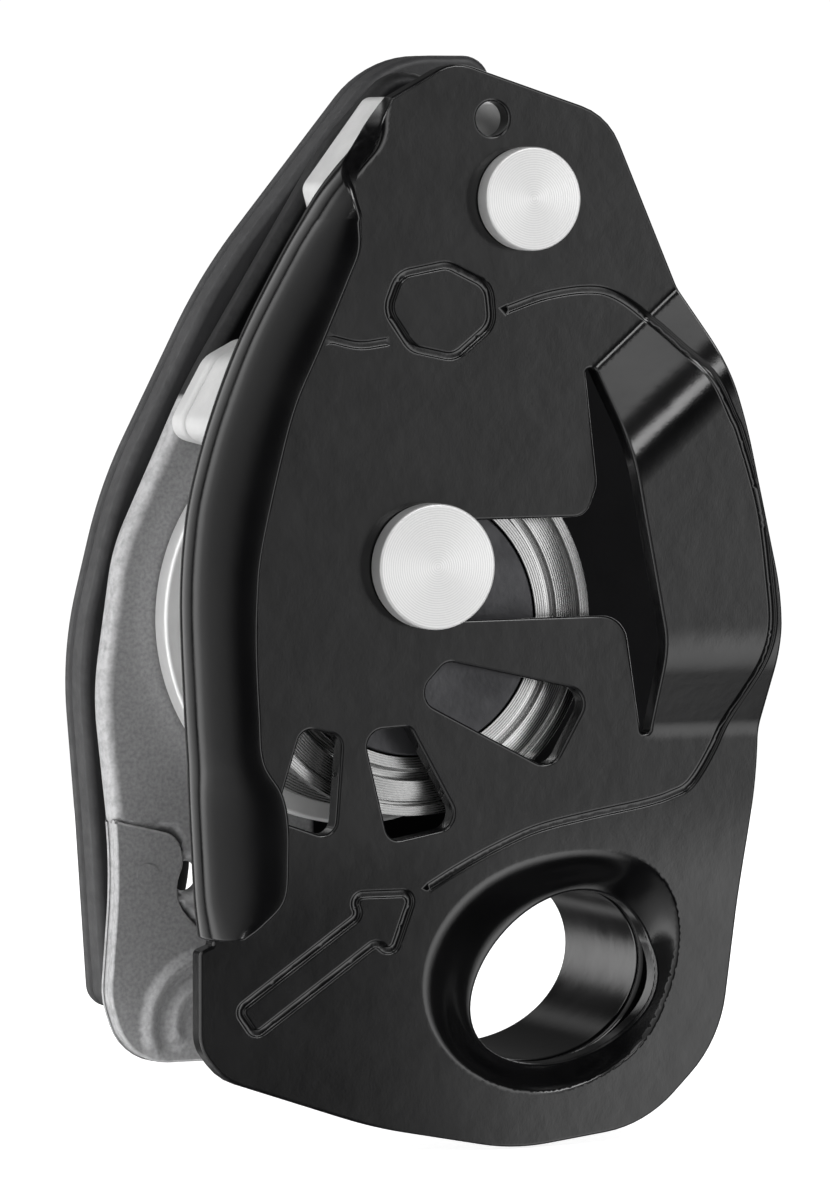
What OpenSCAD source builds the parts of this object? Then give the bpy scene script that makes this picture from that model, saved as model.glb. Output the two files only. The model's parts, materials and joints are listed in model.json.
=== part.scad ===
// Rope descender: a cam and rope wheel between a fixed and a swinging side plate.
// Frame: origin at the centre of the attachment eye, on the front face of the
// swinging plate. +Z is up along the plates, +Y goes from the front to the rear.

/* [Plates] */
// Thickness of the swinging front plate
front_t = 2.3; // [1.8:0.1:2.6]
// Thickness of the fixed rear plate
rear_t = 3.4; // [2.8:0.1:3.6]
// Depth at which the rear plate's inner face stands
rear_y = 21.6; // [21.5:0.1:22.4]
// How far the bridge stands out of the front plate
bridge_rise = 5.2; // [5.1:0.1:6]
// How far the rolled hem stands out of the front plate
hem_rise = 5.8; // [5:0.1:6.5]

/* [Pivot and axle] */
// Radius of the top pivot's shank
pivot_r = 3.5; // [3:0.1:4]
// Radius of the top pivot's head
pivot_head_r = 5.35; // [4.8:0.05:5.8]
// Radius of the cam axle
axle_r = 4; // [3.6:0.1:4.2]
// Radius of the cam axle's head
axle_head_r = 6.5; // [6:0.1:6.8]
// Thickness of both heads
head_t = 2.45; // [2:0.05:2.5]

/* [Rope wheel] */
// Radius of the wheel's flanges
flange_r = 20; // [19:0.1:20.2]
// Radius of the rope groove's bottom
groove_r = 17.6; // [17.4:0.1:18.2]
// Distance of the wheel's centre below the cam axle
eccentric = 6.2; // [5.5:0.1:6.4]
// Radius of the cam disc behind the wheel
disc_r = 21.6; // [21:0.1:22]
// Number of balls in the wheel's bearing
ball_count = 16; // [10:1:18]

/* [Attachment eye] */
// Half of the eye's long axis
eye_a = 10.9; // [10:0.1:11.5]
// Half of the eye's short axis
eye_b = 8.3; // [7.5:0.1:8.8]
// Tilt of the eye's long axis, in degrees
eye_tilt = 28; // [20:1:32]

/* [Holes] */
// Radius of the small leash hole
leash_r = 1.8; // [1.5:0.1:2]

/* [Hidden] */
$fn = 72;

// Places, measured from the cam axle: [x, z]
axle = [-16.6, 44];
pivot = [10.8, 37.75];
leash = [7.25, 46];
eye = -axle;
wheel = [0, -eccentric];
hinge = [-12, -22];

over = 1;         // how far a cut runs past the piece
gap = 0.3;        // between bodies that move past each other
snug = 0.02;      // between pieces of one body
running = 0.05;   // radial clearance of a shaft in its bore
head_gap = 0.15;  // under the two heads
rear_back = rear_y + rear_t;
rivet_tail = 0.8; // how far the pivot stands out behind the rear plate
flange_out = 0.6; // how far the bushing and the collar stand out there
lip_t = 1.6;      // width of the collar's rear lip

// Depths of the wheel and of the cam
cover_t = 2;
wheel_front = 3.7;
wheel_back = 17.6;
flange_t = 2;     // thickness of a flange at its rim
groove_front = 7.6;
groove_back = 13.7;
disc_front = wheel_back + 0.4;
disc_back = rear_y - 0.4;
hub_front = wheel_front + cover_t + snug;
cover_r = 13.7;

// Bearing between the cam hub and the wheel
hub_r = 11.6;
race_t = 1;
ball_r = 0.8;
race_gap = 0.1;
ball_ring_r = hub_r + snug + race_t + race_gap + ball_r;
bearing_r = ball_ring_r + ball_r + race_gap + race_t;
bearing_front = 8;
bearing_back = 14;
cage_t = 0.8;
cage_half = 1.6;  // half of the cage's width

// Depths behind the rear plate
lever_front = rear_back + 2.6;
lever_t = 2;
grip_front = rear_back + 1.4;
grip_back = lever_front + lever_t + 2.9;
boss_r = 6.4;
lever_root_r = 7;
lever_tip_r = 5.4;
hinge_pin_r = 1.9;
lever_end_r = 3;   // of the axle's end, which has two flats
flat_half = 2.3;
nut_r = 5;
nut_t = 1.6;

// Stop pin on the rear plate, in an arc slot of the cam disc
stop_r = 1.5;
stop_radius = 17;
stop_angle = -60;
cam_travel = 20;
stop_spare = 7;   // angle left beyond the travel at both ends

// Outline with rounded corners, from a list of [x, z, radius]
function turn(a) = a > 180 ? a - 360 : a < -180 ? a + 360 : a;
function fillet(p, q, s, r) =
    r == 0 ? [q] :
    let (u = (p - q) / norm(p - q), v = (s - q) / norm(s - q),
         half = acos(u * v) / 2, c = q + (u + v) / norm(u + v) * r / sin(half),
         a = q + u * r / tan(half) - c, b = q + v * r / tan(half) - c,
         start = atan2(a.y, a.x), sweep = turn(atan2(b.y, b.x) - start),
         n = max(2, ceil(abs(sweep) / 9)))
    [for (i = [0:n]) c + r * [cos(start + sweep * i / n), sin(start + sweep * i / n)]];
function xz(c) = [c[0], c[1]];
function rounded(c) = let (n = len(c))
    [for (i = [0:n - 1])
        each fillet(xz(c[(i + n - 1) % n]), xz(c[i]), xz(c[(i + 1) % n]), c[i][2])];

// The attachment eye: an egg, widest towards its upper right
function egg(grow) = [for (t = [0:7.5:352.5])
    let (u = (eye_a + grow) * cos(t), v = (eye_b + grow) * (1 + 0.1 * cos(t)) * sin(t))
    eye + [u * cos(eye_tilt) - v * sin(eye_tilt), u * sin(eye_tilt) + v * cos(eye_tilt)]];

// Left edge of the front plate, shared by the flat sheet and the hem
hem_side = [[-14.2, 37.2, 20], [-24.8, 18, 30], [-28.6, 2, 30], [-28.5, -14, 60]];
front_outline = rounded(concat(
    [[3, 52, 5], [20.5, 46.4, 7], [33.5, 17, 60], [38.3, -4, 30], [37.9, -22, 60],
     [33, -50.5, 14], [24.5, -59.6, 14], [10, -61.3, 20], [-22.5, -53.2, 6],
     [-25.1, -49, 4], [-25.1, -39, 1], [-27.6, -36.5, 2]],
    [for (i = [3:-1:0]) hem_side[i]], [[-4, 48.2, 2]]));
hem_outline = rounded(concat([[-3.2, 46.4, 0.5], [-4.5, 47.5, 0.5]], hem_side,
    [[-27.8, -37.4, 2.5], [-21, -37.6, 4], [-17.8, -33, 3], [-17.9, -24, 5],
     [-21, -18, 12], [-21.3, -3, 40], [-18.8, 11, 60], [-12.6, 24.5, 60], [-9, 32, 3],
     [-9.5, 37, 4]]));
rear_outline = rounded([[6, 51.9, 5], [20.5, 46, 7], [34.2, 18, 60], [38.2, -3, 30],
    [37.6, -22, 60], [32.6, -50.5, 13], [24.5, -59.2, 12], [12, -60.2, 14], [-5, -53, 20],
    [-24.6, -53, 6], [-26.9, -46, 8], [-25.8, -32, 60], [-27.8, -14, 30], [-25.6, 1.2, 20],
    [-17.5, 18.5, 60], [-2, 43.5, 30]]);
notch_outline = rounded([[-2, 4.4, 1], [18, 4.7, 2], [19.3, 8, 3], [18, 20, 0.6],
    [20.4, 11.5, 20], [24.1, -8, 20], [24.6, -18, 0.5], [22.4, -5.6, 3], [-2, -5.8, 1]]);
vents = [rounded([[2.2, -9.9, 1.6], [18.6, -13.6, 1.8], [14, -21.6, 2], [-1.4, -13.6, 1.8]]),
    rounded([[-7.2, -16.9, 1.8], [-2, -16.6, 1], [3.9, -27, 1.8], [-4.3, -28.5, 1.5]]),
    rounded([[-14, -16.3, 1.5], [-9.6, -17.3, 1.5], [-10.4, -28, 1.5], [-17, -25.7, 1.5]])];

// A flat piece between two depths, drawn in the plane of the plates from the axle
module slab(y0, y1) {
    translate([axle.x, y1, axle.y]) rotate([90, 0, 0]) linear_extrude(y1 - y0) children();
}
// A round piece between two depths
module rod(at, r, y0, y1) {
    translate([axle.x + at.x, y1, axle.y + at.y]) rotate([90, 0, 0]) cylinder(r = r, h = y1 - y0);
}
// A turned piece about an axis along Y, from points [radius, depth]
module turned(at, points) {
    translate([axle.x + at.x, 0, axle.y + at.y]) rotate([-90, 0, 0])
        rotate_extrude() polygon(points);
}
module ring(at, r_in, r_out, y0, y1) {
    turned(at, [[r_in, y0], [r_out, y0], [r_out, y1], [r_in, y1]]);
}

// Raised bridge: the plate rises over two folds, and the notch ends under it
fold = [18.4, 19.7];
fold_angle = 40.8;
fold_run = 8;
low_fold = -18;
low_run = 9;
bridge_zone = [[18.1, 20.2], fold + 40 * [cos(fold_angle), sin(fold_angle)], [70, low_fold],
    [24.4, low_fold], [22, 0]];

module upper_profile(lift, back) {
    translate([axle.x + fold.x, 0, axle.y + fold.y]) rotate([0, -fold_angle, 0])
        rotate([90, 0, 90]) translate([0, 0, -60]) linear_extrude(120)
            polygon([[lift, 80], [lift, 0], [lift - bridge_rise, -fold_run],
                [lift - bridge_rise, -80], [back, -80], [back, 80]]);
}
module lower_profile(lift, back) {
    translate([axle.x - 10, 0, axle.y]) rotate([90, 0, 90]) linear_extrude(90)
        polygon([[lift, -90], [lift, low_fold], [lift - bridge_rise, low_fold + low_run],
            [lift - bridge_rise, 90], [back, 90], [back, -90]]);
}
module bridge() {
    difference() {
        intersection() {
            slab(-bridge_rise, front_t) intersection() {
                polygon(front_outline);
                polygon(bridge_zone);
            }
            upper_profile(0, front_t);
            lower_profile(0, front_t);
        }
        intersection() {
            upper_profile(front_t, front_t + 1);
            lower_profile(front_t, front_t + 1);
        }
    }
}
hem_wall = rounded(concat([[-4.2, 47.9, 0.4]], hem_side, [[-27.8, -36.8, 0.5], [-25.4, -36.8, 0.3]],
    [for (i = [3:-1:0]) hem_side[i] + [front_t + 0.1, -0.3, 0]], [[-1.8, 47.6, 0.4]]));
module hem() {
    slab(-hem_rise, -hem_rise + front_t) polygon(hem_outline);
    slab(-hem_rise + front_t, 0) polygon(hem_wall);
}
module eye_dish(grow, y0, y1) {
    hull() {
        slab(y0, y0 + 0.1) polygon(rounded([[-2.2, -48, 9], [-1, -33, 10], [14, -27.5, 9],
            [29, -30, 8], [29.6, -46, 9], [14, -57, 9]]));
        slab(y1 - 0.1, y1) polygon(egg(grow));
    }
}
dish_depth = 3.2;
lip_back = dish_depth + front_t;

module front_side_plate() {
    color([0.13, 0.13, 0.14]) difference() {
        union() {
            slab(0, front_t) difference() {
                polygon(front_outline);
                polygon(bridge_zone);
            }
            bridge();
            hem();
            eye_dish(front_t, 0, lip_back);
        }
        eye_dish(0, -0.1, dish_depth);
        slab(-over, lip_back + over) polygon(egg(0));
        slab(-bridge_rise - over, front_t + over) polygon(notch_outline);
        slab(-over, front_t + over) for (v = vents) polygon(v);
        rod([0, 0], axle_r + 2 * gap, -over, front_t + over);
        rod(pivot, pivot_r + running, -over, front_t + over);
        rod(leash, leash_r, -over, front_t + over);
    }
}

// Tapered link between two round ends
function link(p, q, rp, rq) =
    let (d = q - p, a = atan2(d.y, d.x), b = acos((rp - rq) / norm(d)))
    concat([for (i = [0:24]) let (t = a + b + (360 - 2 * b) * i / 24) p + rp * [cos(t), sin(t)]],
           [for (i = [0:16]) let (t = a - b + 2 * b * i / 16) q + rq * [cos(t), sin(t)]]);
// Band along an arc about the axle
function arc_band(c, r, half, a0, a1) =
    concat([for (i = [0:16]) let (t = a0 + (a1 - a0) * i / 16) c + (r + half) * [cos(t), sin(t)]],
           [for (i = [16:-1:0]) let (t = a0 + (a1 - a0) * i / 16) c + (r - half) * [cos(t), sin(t)]]);

// Rear plate and what is fixed to it
bushing_r = 5.2;
spacer_r = 4.8;
collar_t = 2.2;
collar_front = lip_back + 1;
shoe_front = 5;
shoe_pin_r = 1.5;
shoe_pin_at = [4, 42.5];
shoe_pin_front = 14.1;
wear_t = 1.2;
wear_rivets = [[-22.6, -33], [-9.5, -46.5]];
wear_rivet_r = 1.2;
drain = [-17.9, -33.4];
drain_r = 1.6;
relief_t = 1.8;
ridges = [-15.2, -49];  // centre of the two ridges
ridge_half = 0.7;
stop_at = stop_radius * [cos(stop_angle), sin(stop_angle)];

wear_outline = rounded([[-30, -26.2, 0], [-19, -28.9, 2.5], [-18.3, -32, 3], [-19.9, -35.5, 4],
    [-15, -40.6, 4], [-3, -41.8, 2], [-3, -60, 0], [-30, -60, 0]]);
shoe_outline = rounded([[1.8, 48.3, 1.2], [-5.4, 38.9, 1.5], [-3.9, 33.6, 1.2], [4, 30, 3],
    [16.5, 31, 4], [19, 41, 4], [12.5, 48.3, 3]]);

module rear_side_plate() {
    color([0.42, 0.42, 0.44]) difference() {
        slab(rear_y, rear_back) polygon(rear_outline);
        rod(pivot, pivot_r + snug, rear_y - over, rear_back + over);
        rod([0, 0], bushing_r + snug, rear_y - over, rear_back + over);
        slab(rear_y - over, rear_back + over) polygon(egg(collar_t + snug));
        rod(shoe_pin_at, shoe_pin_r + snug, rear_y - over, rear_back + over);
        rod(stop_at, stop_r + snug, rear_y - over, rear_back + over);
        rod(peg, peg_r + snug, rear_y - over, rear_back + over);
        rod(drain, drain_r, rear_y - over, rear_back + over);
        slab(rear_y - over, rear_y + wear_t) polygon(wear_outline);
        for (w = wear_rivets) rod(w, wear_rivet_r + snug, rear_y - over, rear_back + over);
        // relief along the upper left edge, beside the handle
        slab(rear_back - relief_t, rear_back + over) intersection() {
            difference() {
                polygon(rear_outline);
                translate([2.2, -0.8]) polygon(rear_outline);
            }
            translate([-40, 0.6]) square([42, 60]);
        }
    }
}
module wear_plate() {
    color([0.5, 0.5, 0.52]) difference() {
        union() {
            slab(rear_y, rear_y + wear_t - snug) intersection() {
                polygon(rear_outline);
                translate([-snug, -1.5 * snug]) polygon(wear_outline);
            }
            // two ridges that guide the rope
            slab(rear_y - 0.7, rear_y) intersection() {
                polygon(rear_outline);
                union() {
                    polygon(arc_band(ridges, 7.2, ridge_half, 78, 190));
                    polygon(arc_band(ridges, 4.4, ridge_half, 78, 190));
                }
            }
        }
        for (w = wear_rivets) rod(w, wear_rivet_r + snug, rear_y - over, rear_back + over);
    }
}
module wear_rivet(at) {
    color([0.6, 0.6, 0.62]) rod(at, wear_rivet_r, rear_y - 0.1, rear_back + 0.2);
}
module pivot_rivet() {
    color([0.78, 0.78, 0.78]) turned(pivot, [[0, -head_gap - head_t],
        [pivot_head_r - 0.4, -head_gap - head_t], [pivot_head_r, -head_gap - head_t + 0.4],
        [pivot_head_r, -head_gap], [pivot_r, -head_gap], [pivot_r, rear_back + snug],
        [5, rear_back + snug], [4.4, rear_back + rivet_tail], [0, rear_back + rivet_tail]]);
}
module pivot_spacer() {
    color([0.7, 0.7, 0.7]) ring(pivot, pivot_r + snug, spacer_r, front_t + 0.95, rear_y - snug);
}
module pivot_washer() {
    color([0.85, 0.85, 0.85]) ring(pivot, pivot_r + snug, 5.8, front_t + 0.3, front_t + 0.9);
}
module friction_shoe() {
    color([0.72, 0.72, 0.72]) difference() {
        slab(shoe_front, rear_y - snug) polygon(shoe_outline);
        rod(pivot, spacer_r + snug, shoe_front - over, rear_y + over);
        rod(shoe_pin_at, shoe_pin_r + snug, shoe_pin_front - 0.1, rear_y + over);
    }
}
module shoe_pin() {
    color([0.6, 0.6, 0.6]) rod(shoe_pin_at, shoe_pin_r, shoe_pin_front, rear_back);
}
module eye_collar() {
    color([0.08, 0.08, 0.09]) difference() {
        union() {
            slab(collar_front, rear_back + flange_out) polygon(egg(collar_t));
            slab(rear_back + snug, rear_back + flange_out) polygon(egg(collar_t + lip_t));
        }
        slab(collar_front - over, rear_back + flange_out + over) polygon(egg(0));
    }
}
module axle_bushing() {
    color([0.75, 0.6, 0.35]) turned([0, 0], [[axle_r + running, rear_y], [bushing_r, rear_y],
        [bushing_r, rear_back + snug], [6.6, rear_back + snug], [6.6, rear_back + flange_out],
        [axle_r + running, rear_back + flange_out]]);
}
module stop_pin() {
    color([0.6, 0.6, 0.6]) rod(stop_at, stop_r, disc_front + 0.2, rear_back);
}
module spring_peg() {
    color([0.6, 0.6, 0.6]) rod(peg, peg_r, rear_y + 0.5, lever_front - 0.4);
}

// Spiral spring around the axle, from the axle to the peg on the rear plate
spring_t = 0.5;
spring_turns = 2.25;
spring_in = axle_r + snug;
spring_out = 9;
spring_front = rear_back + 0.9;
spring_back = lever_front - 0.3;
peg_r = 1;
peg = [0, -spring_out - spring_t - peg_r];
spring_steps = 72;
function spiral(i, out) =
    let (f = i / spring_steps, t = -90 + 360 * spring_turns * (f - 1),
         r = spring_in + (spring_out - spring_in) * f + out)
    r * [cos(t), sin(t)];
module return_spring() {
    color([0.55, 0.55, 0.55]) slab(spring_front, spring_back) polygon(concat(
        [for (i = [0:spring_steps]) spiral(i, 0)],
        [for (i = [spring_steps:-1:0]) spiral(i, spring_t)]));
}

// Cam: disc and nose, hub, cover, axle, lever
nose_front = 6.2;
nose_outline = rounded([[-21.2, 13.1, 2], [-16.6, 21.2, 3], [-12.2, 23.5, 2], [-5, 16, 3],
    [-4, 7, 1], [-14, 11.2, 2]]);
pins = [[-7, -10.5], [7, -10.5]];
drive_pin_r = 1.2;
drive_pin_front = 13.1;
screws = [[6.9, -4.5], [-6.9, -7.9]];
screw_r = 1;
screw_tip = 10.9;
screw_head_r = 1.7;
screw_sink = 1.1;  // depth of the seat under a screw's head

module cam_plate() {
    color([0.8, 0.8, 0.8]) difference() {
        union() {
            rod(wheel, disc_r, disc_front, disc_back);
            slab(disc_front, disc_back) polygon(nose_outline);
            difference() {
                slab(nose_front, disc_front) polygon(nose_outline);
                rod(wheel, flange_r + 2 * gap, nose_front - over, disc_front);
            }
        }
        rod([0, 0], axle_r + snug, disc_front - over, disc_back + over);
        for (p = pins) rod(p, drive_pin_r + snug, disc_front - over, disc_back + over);
        slab(disc_front - over, disc_back + over) polygon(arc_band([0, 0], stop_radius,
            stop_r + gap, stop_angle - stop_spare, stop_angle + cam_travel + stop_spare));
    }
}
module cam_hub() {
    color([0.22, 0.22, 0.23]) difference() {
        turned(wheel, [[0, hub_front], [hub_r, hub_front], [hub_r, bearing_back + snug],
            [hub_r + race_t, bearing_back + snug], [hub_r + race_t, disc_front - snug],
            [0, disc_front - snug]]);
        rod([0, 0], axle_r + snug, hub_front - over, disc_front + over);
        for (p = pins) rod(p, drive_pin_r + snug, drive_pin_front - 0.1, disc_front + over);
        for (s = screws) rod(s, screw_r + snug, hub_front - over, screw_tip + 0.1);
    }
}
module hub_cover() {
    color([0.2, 0.2, 0.21]) difference() {
        rod(wheel, cover_r, wheel_front, wheel_front + cover_t);
        rod([0, 0], axle_r + snug, wheel_front - over, hub_front + over);
        for (s = screws) {
            rod(s, screw_r + snug, wheel_front - over, hub_front + over);
            rod(s, screw_head_r + 0.1, wheel_front - over, wheel_front + screw_sink);
        }
    }
}
module cover_screw(at) {
    color([0.15, 0.15, 0.15]) {
        difference() {
            rod(at, screw_head_r, wheel_front + 0.1, wheel_front + screw_sink - 0.05);
            rod(at, 0.8, wheel_front, wheel_front + 0.8, $fn = 6);
        }
        rod(at, screw_r, wheel_front + screw_sink - 0.1, screw_tip);
    }
}
module drive_pin(at) {
    color([0.7, 0.7, 0.7]) rod(at, drive_pin_r, drive_pin_front, disc_back);
}
module cam_axle() {
    color([0.8, 0.8, 0.8]) {
        turned([0, 0], [[0, -head_gap - head_t], [axle_head_r - 0.45, -head_gap - head_t],
            [axle_head_r, -head_gap - head_t + 0.45], [axle_head_r, -head_gap],
            [axle_r, -head_gap], [axle_r, lever_front - snug], [0, lever_front - snug]]);
        axle_end(lever_end_r, lever_front - over, lever_front + lever_t + nut_t - 0.1, 0);
    }
}
module axle_end(r, y0, y1, grow) {
    intersection() {
        rod([0, 0], r, y0, y1);
        slab(y0 - over, y1 + over) square([2 * r + over, 2 * (flat_half + grow)], center = true);
    }
}
module lever_arm() {
    color([0.7, 0.7, 0.7]) difference() {
        slab(lever_front, lever_front + lever_t) polygon(link([0, 0], hinge, lever_root_r, lever_tip_r));
        axle_end(lever_end_r + snug, lever_front - over, lever_front + lever_t + over, snug);
        rod(hinge, hinge_pin_r + snug, lever_front - over, lever_front + lever_t + over);
    }
}
module axle_nut() {
    color([0.6, 0.6, 0.6]) difference() {
        rod([0, 0], nut_r, lever_front + lever_t + snug, lever_front + lever_t + nut_t);
        axle_end(lever_end_r + snug, lever_front, lever_front + lever_t + nut_t + over, snug);
    }
}

// Bearing and wheel
bearing_mid = (bearing_front + bearing_back) / 2;
module bearing_inner_race() {
    color([0.75, 0.75, 0.75]) ring(wheel, hub_r + snug, hub_r + snug + race_t, bearing_front,
        bearing_back);
}
module bearing_outer_race() {
    color([0.75, 0.75, 0.75]) ring(wheel, bearing_r - race_t, bearing_r, bearing_front,
        bearing_back);
}
module at_each_ball() {
    for (i = [0:ball_count - 1])
        translate([axle.x, bearing_mid, axle.y - eccentric]) rotate([0, i * 360 / ball_count, 0])
            translate([ball_ring_r, 0, 0]) children();
}
module bearing_balls() {
    color([0.9, 0.9, 0.9]) at_each_ball() sphere(r = ball_r, $fn = 16);
}
module bearing_cage() {
    color([0.7, 0.55, 0.3]) difference() {
        ring(wheel, ball_ring_r - cage_t / 2, ball_ring_r + cage_t / 2, bearing_mid - cage_half,
            bearing_mid + cage_half);
        at_each_ball() rotate([0, 90, 0])
            cylinder(r = ball_r + 0.08, h = 3, center = true, $fn = 24);
    }
}
bore_r = bearing_r + snug;
module retaining_ring() {
    color([0.5, 0.5, 0.5]) ring(wheel, bearing_r - race_t - 0.2, bearing_r, bearing_front - 0.9,
        bearing_front - snug);
}
module wheel_rim() {
    color([0.82, 0.82, 0.82]) turned(wheel, [[cover_r + gap, wheel_front],
        [15.1, wheel_front], [15.4, wheel_front + 0.8], [16.1, wheel_front + 0.8],
        [16.3, wheel_front + 0.1], [18.5, wheel_front + 0.5], [18.6, wheel_front + 0.8],
        [18.85, wheel_front + 0.8], [18.95, wheel_front], [flange_r - 0.4, wheel_front],
        [flange_r, wheel_front + 0.4], [flange_r, wheel_front + flange_t],
        [groove_r, groove_front], [groove_r, groove_back],
        [flange_r, wheel_back - flange_t], [flange_r, wheel_back - 0.4],
        [flange_r - 0.4, wheel_back], [bearing_r - race_t, wheel_back],
        [bearing_r - race_t, bearing_back + snug], [bore_r, bearing_back + snug],
        [bore_r, wheel_front + cover_t + gap], [cover_r + gap, wheel_front + cover_t + gap]]);
}

// Handle: the grip lies along the left of the rear plate, and hinges on the lever
boss_front = lever_front + lever_t + gap;
grip_outline = rounded([[19, 52.8, 3], [6.5, 52.8, 12], [-12.6, 29.6, 60], [-24, 7.5, 50],
    [-28.4, -10, 40], [-26.9, -28, 60], [-25.6, -47.6, 2.4], [-19.4, -48, 2.4], [-15.5, -33, 20],
    [-16.6, -12, 30], [-12, 6, 60], [-1.5, 23, 60], [19, 47, 2]]);
module handle_grip() {
    color([0.27, 0.27, 0.28]) difference() {
        union() {
            slab(grip_front, boss_front) difference() {
                polygon(grip_outline);
                translate(hinge) circle(r = lever_tip_r + 0.5);
            }
            slab(boss_front, grip_back) union() {
                polygon(grip_outline);
                polygon(link(hinge, [-19.5, -4], boss_r, 5));
            }
        }
        rod(hinge, hinge_pin_r + running, boss_front - over, grip_back + over);
    }
}
module handle_hinge_pin() {
    color([0.65, 0.65, 0.65]) turned(hinge, [[0, lever_front - 0.8], [3, lever_front - 0.8],
        [3, lever_front - snug], [hinge_pin_r, lever_front - snug],
        [hinge_pin_r, grip_back + 0.1], [3.2, grip_back + 0.1], [3.2, grip_back + 0.7],
        [0, grip_back + 0.7]]);
}

rear_side_plate();
pivot_rivet();
pivot_spacer();
pivot_washer();
friction_shoe();
shoe_pin();
wear_plate();
wear_rivet(wear_rivets[0]);  // wear_rivet_upper
wear_rivet(wear_rivets[1]);  // wear_rivet_lower
eye_collar();
axle_bushing();
stop_pin();
spring_peg();
return_spring();
front_side_plate();
cam_plate();
cam_hub();
hub_cover();
cover_screw(screws[0]);  // cover_screw_a
cover_screw(screws[1]);  // cover_screw_b
drive_pin(pins[0]);  // drive_pin_a
drive_pin(pins[1]);  // drive_pin_b
cam_axle();
lever_arm();
axle_nut();
bearing_inner_race();
bearing_cage();
bearing_balls();
bearing_outer_race();
retaining_ring();
wheel_rim();
handle_grip();
handle_hinge_pin();
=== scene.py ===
"""Looks of the rope descender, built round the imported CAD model.

Shapes are drawn in millimetres from the cam axle: x to the right, z up, y into the depth.
"""

import json
import math

import bmesh
import bpy
import numpy as np
from mathutils import Matrix, Vector
from mathutils.geometry import delaunay_2d_cdt


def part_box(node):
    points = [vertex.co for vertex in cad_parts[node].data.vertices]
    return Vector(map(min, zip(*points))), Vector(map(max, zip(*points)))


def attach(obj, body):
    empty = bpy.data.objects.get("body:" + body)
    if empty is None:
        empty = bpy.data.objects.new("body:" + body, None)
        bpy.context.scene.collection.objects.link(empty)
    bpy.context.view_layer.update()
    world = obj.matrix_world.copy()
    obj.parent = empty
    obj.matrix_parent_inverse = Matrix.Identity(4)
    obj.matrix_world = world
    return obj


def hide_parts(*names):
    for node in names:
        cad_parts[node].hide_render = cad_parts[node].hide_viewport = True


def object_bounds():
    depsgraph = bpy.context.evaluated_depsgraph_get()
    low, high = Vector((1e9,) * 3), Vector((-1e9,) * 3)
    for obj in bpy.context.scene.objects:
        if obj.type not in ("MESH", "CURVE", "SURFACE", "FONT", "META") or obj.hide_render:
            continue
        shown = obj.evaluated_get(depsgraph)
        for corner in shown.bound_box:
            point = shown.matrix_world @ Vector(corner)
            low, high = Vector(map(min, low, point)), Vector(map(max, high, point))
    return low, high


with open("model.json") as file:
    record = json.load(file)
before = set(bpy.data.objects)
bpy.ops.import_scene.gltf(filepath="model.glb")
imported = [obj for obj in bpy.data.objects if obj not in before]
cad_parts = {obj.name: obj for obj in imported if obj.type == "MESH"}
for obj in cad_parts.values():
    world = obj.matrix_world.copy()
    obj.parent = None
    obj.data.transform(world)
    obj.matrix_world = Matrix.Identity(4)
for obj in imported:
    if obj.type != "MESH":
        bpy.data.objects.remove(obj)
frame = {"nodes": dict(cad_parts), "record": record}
cad_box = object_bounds()
nodes = frame["nodes"]
MM = 0.001


# -------- places
def span(node):
    """Lowest and highest corner of a CAD node, in millimetres."""
    low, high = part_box(node)
    return np.array(low) / MM, np.array(high) / MM


def centre(node):
    low, high = span(node)
    return (low + high) / 2


ORIGIN = centre("cam_axle") * np.array([1, 0, 1])


def place_of(node):
    """A node's middle in the plane of the plates, from the cam axle."""
    return (centre(node) - ORIGIN)[[0, 2]]


def radius_of(node):
    low, high = span(node)
    return (high[0] - low[0]) / 2


AXLE = np.zeros(2)
PIVOT = place_of("pivot_rivet")
WHEEL = place_of("wheel_rim")
HINGE = place_of("handle_hinge_pin")
EYE = -ORIGIN[[0, 2]]

PLATE_T = 2.3
BRIDGE_RISE = -span("front_side_plate")[0][1] - 0.6
HEM_RISE = -span("front_side_plate")[0][1]
REAR_Y, REAR_BACK = span("rear_side_plate")[0][1], span("rear_side_plate")[1][1]
WEAR_T = 1.2


# -------- outlines
BATCH = 4000        # points measured at a time


def rounded(corners, closed=True, step=12):
    """Points along an outline given as (x, z, radius) corners."""
    pts = [np.array(c[:2], float) for c in corners]
    radii = [c[2] for c in corners]
    out = []
    count = len(pts)
    for i in range(count):
        q, r = pts[i], radii[i]
        if r == 0 or (not closed and i in (0, count - 1)):
            out.append(q)
            continue
        p, s = pts[i - 1], pts[(i + 1) % count]
        u, v = (p - q) / np.linalg.norm(p - q), (s - q) / np.linalg.norm(s - q)
        half = math.acos(max(-1, min(1, float(u @ v)))) / 2
        mid = q + (u + v) / np.linalg.norm(u + v) * r / math.sin(half)
        a = q + u * r / math.tan(half) - mid
        b = q + v * r / math.tan(half) - mid
        start = math.atan2(a[1], a[0])
        sweep = (math.atan2(b[1], b[0]) - start + math.pi) % (2 * math.pi) - math.pi
        n = max(2, math.ceil(abs(math.degrees(sweep)) / step), math.ceil(abs(sweep) * r / 1.2))
        for k in range(n + 1):
            t = start + sweep * k / n
            out.append(mid + r * np.array([math.cos(t), math.sin(t)]))
    return np.array(out)


def smooth_line(points, count):
    """A Catmull-Rom curve through the points."""
    p = np.array(points, float)
    p = np.vstack([2 * p[0] - p[1], p, 2 * p[-1] - p[-2]])
    spans = len(p) - 3
    out = []
    for t in np.linspace(0, spans, count):
        i = min(int(t), spans - 1)
        f = t - i
        a, b, c, d = p[i:i + 4]
        out.append(0.5 * (2 * b + (c - a) * f + (2 * a - 5 * b + 4 * c - d) * f * f
                          + (3 * b - a - 3 * c + d) * f ** 3))
    return np.array(out)


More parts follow.
